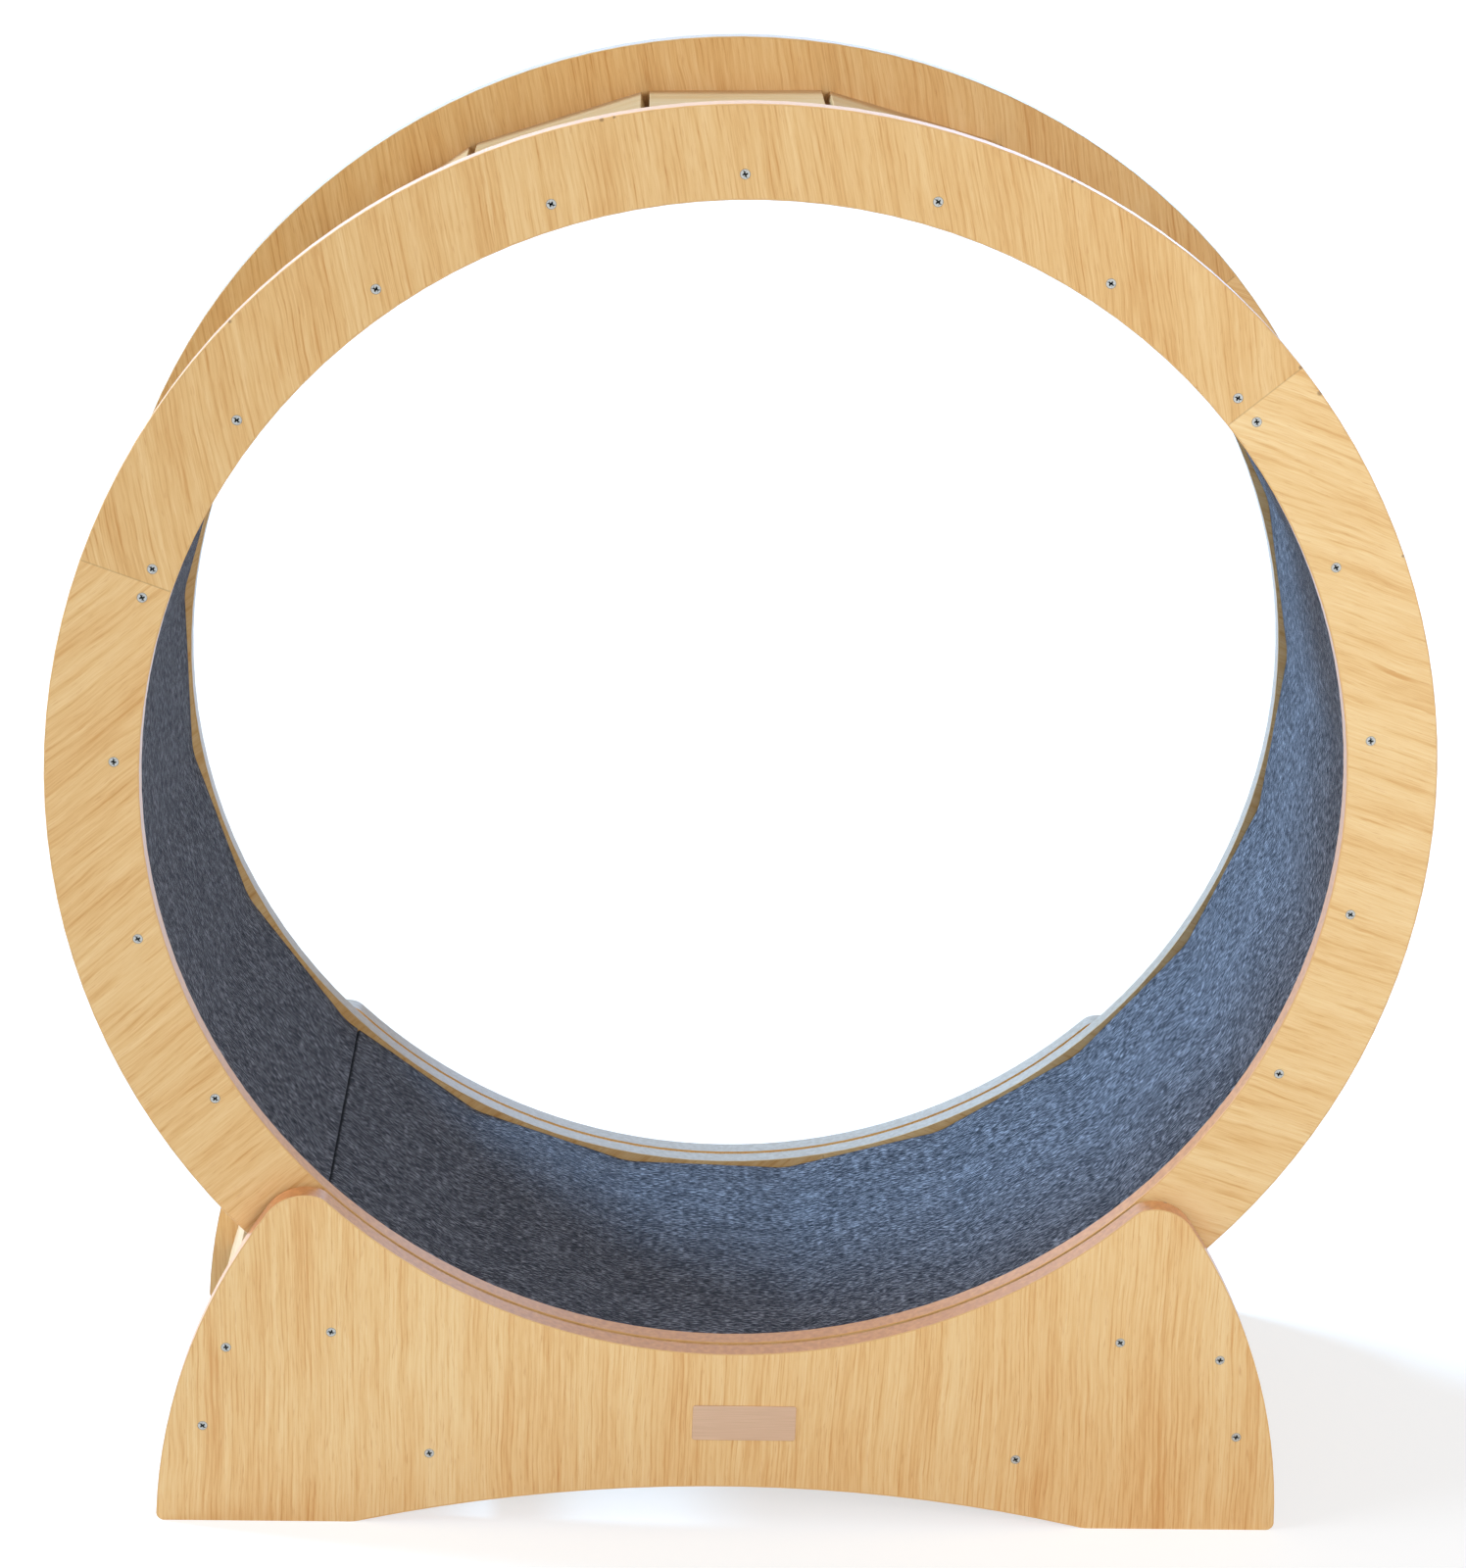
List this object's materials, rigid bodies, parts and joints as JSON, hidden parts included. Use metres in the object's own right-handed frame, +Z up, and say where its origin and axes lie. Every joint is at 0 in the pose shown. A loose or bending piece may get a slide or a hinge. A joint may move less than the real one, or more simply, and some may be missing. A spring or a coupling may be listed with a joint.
{
  "type": "cat exercise wheel",
  "caption": "Cat exercise wheel: a wide wooden drum with a carpeted running surface, turning on grooved rollers between bowed base plates.",
  "frame": {"origin": "on the floor, straight under the middle of the drum", "axes": "+Z up, +Y from the front to the rear along the drum's axis, +X to the right as seen from the front"},
  "size_m": [0.9999, 0.3808, 1.0755],
  "materials": {
    "veneered_board": "satin oak-look face on 15 mm board",
    "slat_board": "satin oak-look face on 15 mm board",
    "inner_board": "satin oak-look face on 15 mm board",
    "edge_banding": "satin pale edge banding",
    "carpet": "short needled pile, slate blue-grey",
    "zinc_screw": "bright zinc plate",
    "copper_label": "satin copper tone, bare",
    "axle_steel": "bright drawn steel",
    "spring_steel": "blackened spring steel",
    "bearing_steel": "ground bearing steel",
    "roller_nylon": "turned dark nylon"
  },
  "bodies": {
    "base": {"front_base_plate": "veneered_board", "rear_base_plate": "veneered_board", "front_plate_edge_bands": "edge_banding", "rear_plate_edge_bands": "edge_banding", "left_side_board": "inner_board", "right_side_board": "inner_board", "left_cross_board": "inner_board", "right_cross_board": "inner_board", "base_screws": "zinc_screw", "label_plate": "copper_label", "left_axle": "axle_steel", "right_axle": "axle_steel", "left_axle_spacers": "axle_steel", "right_axle_spacers": "axle_steel", "left_bearing_inner_rings": "bearing_steel", "right_bearing_inner_rings": "bearing_steel", "axle_clips": "spring_steel"},
    "drum": {"front_ring_segment_1": "veneered_board", "front_ring_segment_2": "veneered_board", "front_ring_segment_3": "veneered_board", "rear_ring_segment_1": "veneered_board", "rear_ring_segment_2": "veneered_board", "rear_ring_segment_3": "veneered_board", "slat_01": "slat_board", "slat_02": "slat_board", "slat_03": "slat_board", "slat_04": "slat_board", "slat_05": "slat_board", "slat_06": "slat_board", "slat_07": "slat_board", "slat_08": "slat_board", "slat_09": "slat_board", "slat_10": "slat_board", "slat_11": "slat_board", "slat_12": "slat_board", "slat_13": "slat_board", "slat_14": "slat_board", "slat_15": "slat_board", "slat_16": "slat_board", "slat_17": "slat_board", "slat_18": "slat_board", "slat_19": "slat_board", "slat_20": "slat_board", "slat_21": "slat_board", "carpet": "carpet", "front_ring_edge_bands": "edge_banding", "rear_ring_edge_bands": "edge_banding", "front_ring_screws": "zinc_screw", "rear_ring_screws": "zinc_screw"},
    "front_left_wheel": {"front_left_roller": "roller_nylon", "front_left_bearings": "bearing_steel"},
    "rear_left_wheel": {"rear_left_roller": "roller_nylon", "rear_left_bearings": "bearing_steel"},
    "front_right_wheel": {"front_right_roller": "roller_nylon", "front_right_bearings": "bearing_steel"},
    "rear_right_wheel": {"rear_right_roller": "roller_nylon", "rear_right_bearings": "bearing_steel"}
  },
  "joints": [
    {"name": "drum_spin", "type": "hinge", "parent": "base", "child": "drum", "pos_m": [0, 0, 0.5755], "axis": [0, 1, 0], "continuous": true},
    {"name": "front_left_roller_spin", "type": "hinge", "parent": "base", "child": "front_left_wheel", "pos_m": [-0.33573, -0.1635, 0.17539], "axis": [0, 1, 0], "continuous": true},
    {"name": "rear_left_roller_spin", "type": "hinge", "parent": "base", "child": "rear_left_wheel", "pos_m": [-0.33573, 0.1635, 0.17539], "axis": [0, 1, 0], "continuous": true},
    {"name": "front_right_roller_spin", "type": "hinge", "parent": "base", "child": "front_right_wheel", "pos_m": [0.33573, -0.1635, 0.17539], "axis": [0, 1, 0], "continuous": true},
    {"name": "rear_right_roller_spin", "type": "hinge", "parent": "base", "child": "rear_right_wheel", "pos_m": [0.33573, 0.1635, 0.17539], "axis": [0, 1, 0], "continuous": true}
  ],
  "couplings": [
    {"joint": "front_left_roller_spin", "follows": "drum_spin", "ratio": -22.727},
    {"joint": "rear_left_roller_spin", "follows": "drum_spin", "ratio": -22.727},
    {"joint": "front_right_roller_spin", "follows": "drum_spin", "ratio": -22.727},
    {"joint": "rear_right_roller_spin", "follows": "drum_spin", "ratio": -22.727}
  ]
}
